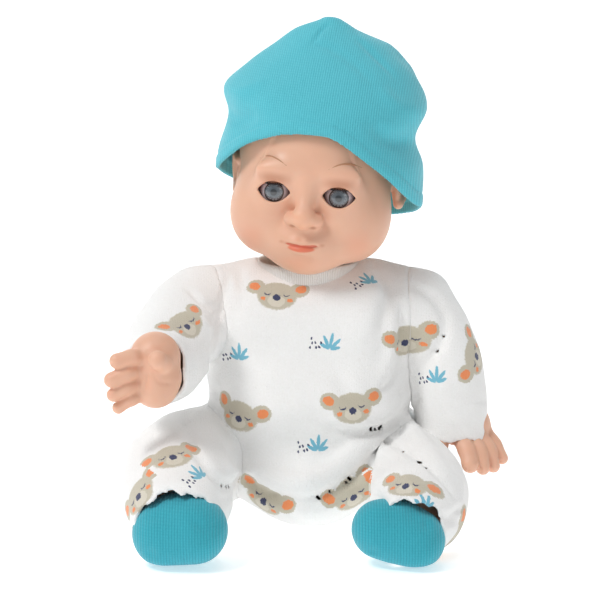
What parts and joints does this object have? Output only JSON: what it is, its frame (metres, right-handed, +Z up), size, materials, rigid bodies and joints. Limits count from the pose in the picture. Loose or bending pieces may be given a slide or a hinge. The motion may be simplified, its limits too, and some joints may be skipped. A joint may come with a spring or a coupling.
{
  "type": "interactive baby doll",
  "caption": "Seated vinyl baby doll with sleeping eyes, turning head and limbs, a sound unit behind a belly button, a one-piece suit with booties and a soft cap.",
  "frame": {"origin": "on the flat seat of the suit, in the middle between the hips, where the doll rests on a surface", "axes": "+Z up along the seated body, -Y the way the face and feet point, +X towards the doll's left hand"},
  "size_m": [0.1978, 0.1832, 0.2395],
  "materials": {
    "torso_shell": "satin moulded shell",
    "steel": "plated steel",
    "circuit_board": "green solder mask",
    "black_plastic": "matt",
    "speaker_paper": "pressed paper",
    "lead_grey": "dull cast metal",
    "battery_wrap": "printed foil sleeve, no marks",
    "button_red": "gloss",
    "velour": "white cotton velour with a small printed pattern",
    "hook_and_loop": "woven hook-and-loop tape",
    "vinyl_skin": "soft matt vinyl",
    "hat_jersey": "fine cotton jersey",
    "white_plastic": "matt",
    "eyeball": "clear-coated acrylic",
    "eyelid": "painted vinyl colour",
    "lashes": "brown nylon fibre",
    "rib_knit": "fine rib knit"
  },
  "bodies": {
    "torso": {"torso_front": "torso_shell", "torso_back": "torso_shell", "torso_screws": "steel", "circuit_board": "circuit_board", "board_screws": "steel", "sound_chip": "black_plastic", "tact_switch": "black_plastic", "speaker_frame": "steel", "speaker_cone": "speaker_paper", "speaker_magnet": "lead_grey", "battery_tray": "black_plastic", "battery_cells": "battery_wrap", "battery_contacts": "steel", "battery_door": "torso_shell", "door_screw": "steel", "switch_body": "black_plastic", "button_spring": "steel", "suit_body": "velour", "suit_collar": "velour", "back_closure": "hook_and_loop"},
    "head": {"neck_flange": "vinyl_skin", "head_shell": "vinyl_skin", "eye_case_right": "white_plastic", "eye_case_left": "white_plastic"},
    "hat": {"hat": "hat_jersey"},
    "belly_button": {"belly_button": "button_red"},
    "switch_knob": {"switch_knob": "button_red"},
    "eye_right": {"eyeball_right": "eyeball", "eyelid_right": "eyelid", "lashes_right": "lashes", "eye_weight_right": "lead_grey", "eye_axle_right": "steel"},
    "arm_right": {"arm_right": "vinyl_skin", "shoulder_flange_right": "vinyl_skin", "sleeve_right": "velour"},
    "leg_right": {"leg_right": "vinyl_skin", "hip_flange_right": "vinyl_skin", "trouser_right": "velour", "bootie_right": "rib_knit"},
    "eye_left": {"eyeball_left": "eyeball", "eyelid_left": "eyelid", "lashes_left": "lashes", "eye_weight_left": "lead_grey", "eye_axle_left": "steel"},
    "arm_left": {"arm_left": "vinyl_skin", "shoulder_flange_left": "vinyl_skin", "sleeve_left": "velour"},
    "leg_left": {"leg_left": "vinyl_skin", "hip_flange_left": "vinyl_skin", "trouser_left": "velour", "bootie_left": "rib_knit"}
  },
  "joints": [
    {"name": "neck_turn", "type": "hinge", "parent": "torso", "child": "head", "pos_m": [0, -0.007, 0.116], "axis": [0, 0, 1], "range_deg": [-45, 45]},
    {"name": "eye_right_tilt", "type": "hinge", "parent": "head", "child": "eye_right", "pos_m": [-0.01531, -0.03495, 0.16284], "axis": [0.9872, -0.1387, -0.0785], "range_deg": [0, 56]},
    {"name": "eye_left_tilt", "type": "hinge", "parent": "head", "child": "eye_left", "pos_m": [0.0153, -0.03925, 0.1604], "axis": [0.9872, -0.1387, -0.0785], "range_deg": [0, 56]},
    {"name": "hat_lift", "type": "slide", "parent": "head", "child": "hat", "axis": [0.0777, -0.0109, 0.9969], "range_m": [0, 0.1]},
    {"name": "shoulder_right", "type": "hinge", "parent": "torso", "child": "arm_right", "pos_m": [-0.046, -0.007, 0.102], "axis": [0.9397, 0, 0.342], "range_deg": [-75, 5]},
    {"name": "shoulder_left", "type": "hinge", "parent": "torso", "child": "arm_left", "pos_m": [0.046, -0.007, 0.102], "axis": [0.9397, 0, -0.342], "range_deg": [-120, 10]},
    {"name": "hip_right", "type": "hinge", "parent": "torso", "child": "leg_right", "pos_m": [-0.029, -0.007, 0.026], "axis": [1, 0, 0], "range_deg": [0, 80]},
    {"name": "hip_left", "type": "hinge", "parent": "torso", "child": "leg_left", "pos_m": [0.029, -0.007, 0.026], "axis": [1, 0, 0], "range_deg": [0, 80]},
    {"name": "button_press", "type": "slide", "parent": "torso", "child": "belly_button", "axis": [0, 1, 0], "range_m": [0, 0.0025], "stiffness_N_per_m": 400, "springref_m": -0.0005, "deforming": ["button_spring"]},
    {"name": "switch_slide", "type": "slide", "parent": "torso", "child": "switch_knob", "axis": [1, 0, 0], "range_m": [0, 0.003]}
  ]
}
